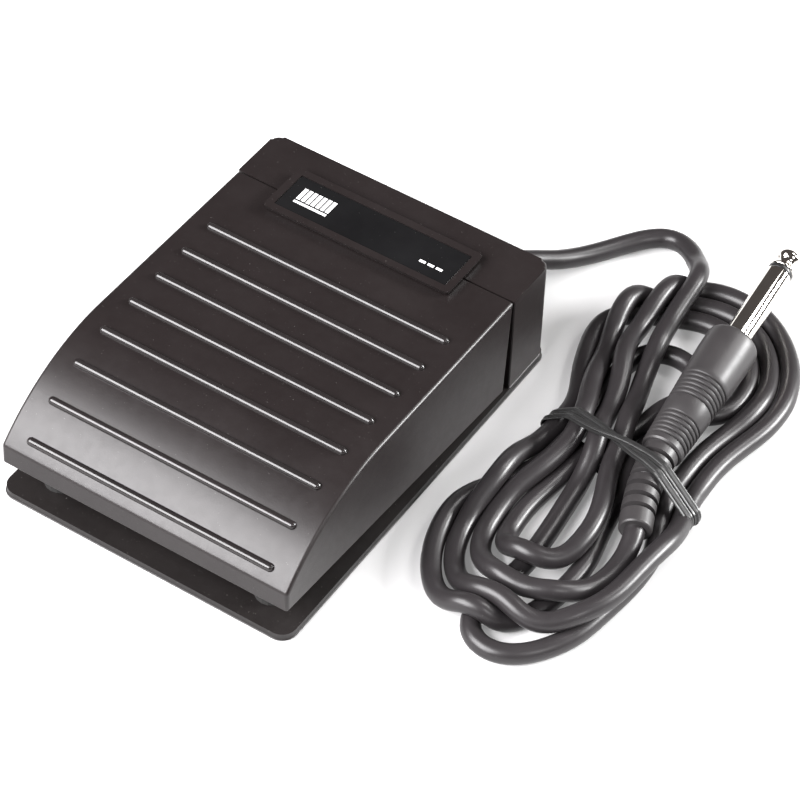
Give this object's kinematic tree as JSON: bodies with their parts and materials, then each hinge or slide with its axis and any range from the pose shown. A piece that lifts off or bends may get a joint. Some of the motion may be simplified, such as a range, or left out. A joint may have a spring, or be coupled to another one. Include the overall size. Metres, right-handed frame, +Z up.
{
  "type": "sustain pedal",
  "caption": "Small black foot pedal with a ribbed, curved hinged treadle over a flat base, a rear housing, and a tied cord ending in a phone plug.",
  "frame": {"origin": "centre of the pedal's underside, where it stands on the floor, without its cord", "axes": "+Z up; +Y towards the hinge and the end the cord leaves; +X to the pedal's right, the side on which the tied cord lies"},
  "size_m": [0.1354, 0.1567, 0.0315],
  "materials": {
    "black_plastic": "satin, fine grained",
    "base_plastic": "semi-gloss",
    "rubber": "matt",
    "gland_rubber": "matt",
    "label_film": "gloss",
    "steel": "brushed",
    "spring_steel": "drawn wire",
    "felt": "felted",
    "switch_plastic": "moulded",
    "button_plastic": "moulded",
    "brass": "plain",
    "red_wire": "moulded",
    "white_wire": "moulded",
    "cord_vinyl": "satin vinyl",
    "tie_vinyl": "ribbed, semi-gloss",
    "plug_plastic": "moulded, satin",
    "insulator_plastic": "moulded",
    "nickel": "polished nickel"
  },
  "bodies": {
    "pedal": {"rear_housing": "black_plastic", "cable_clamp": "black_plastic", "base_plate": "base_plastic", "grip_sheet": "rubber", "bumper_left": "rubber", "bumper_right": "rubber", "cable_gland": "gland_rubber", "hinge_pin_left": "steel", "hinge_pin_right": "steel", "housing_screw_left": "steel", "housing_screw_right": "steel", "clamp_screw_left": "steel", "clamp_screw_right": "steel", "stop_bracket": "steel", "stop_rivet": "steel", "switch_screw_front": "steel", "switch_screw_rear": "steel", "return_spring": "spring_steel", "switch_body": "switch_plastic", "switch_terminal_common": "brass", "switch_terminal_closed": "brass", "switch_terminal_open": "brass", "wire_signal": "red_wire", "wire_shield": "white_wire", "cable_lead": "cord_vinyl", "cable_hank": "cord_vinyl", "twist_tie": "tie_vinyl", "plug_body": "plug_plastic", "plug_sleeve": "nickel", "plug_insulator": "insulator_plastic", "plug_tip": "nickel"},
    "treadle": {"treadle": "black_plastic", "nameplate_frame": "black_plastic", "nameplate_label": "label_film", "stop_pad": "felt"},
    "switch_lever": {"switch_lever": "steel"},
    "switch_plunger": {"switch_plunger": "button_plastic"}
  },
  "joints": [
    {"name": "treadle_press", "type": "hinge", "parent": "pedal", "child": "treadle", "pos_m": [0, 0.03115, 0.0244], "axis": [1, 0, 0], "range_deg": [0, 3.8], "stiffness_Nm_per_rad": 2.5, "springref_deg": -8.02, "deforming": ["return_spring"]},
    {"name": "lever_tilt", "type": "hinge", "parent": "pedal", "child": "switch_lever", "pos_m": [0.014, 0.019, 0.0184], "axis": [1, 0, 0], "range_deg": [0, 6.7]},
    {"name": "plunger_travel", "type": "slide", "parent": "pedal", "child": "switch_plunger", "axis": [0, 0, -1], "range_m": [0, 0.0007]}
  ],
  "couplings": [
    {"joint": "lever_tilt", "follows": "treadle_press", "ratio": 1.715},
    {"joint": "plunger_travel", "follows": "treadle_press", "m_per_rad": 0.00857}
  ]
}
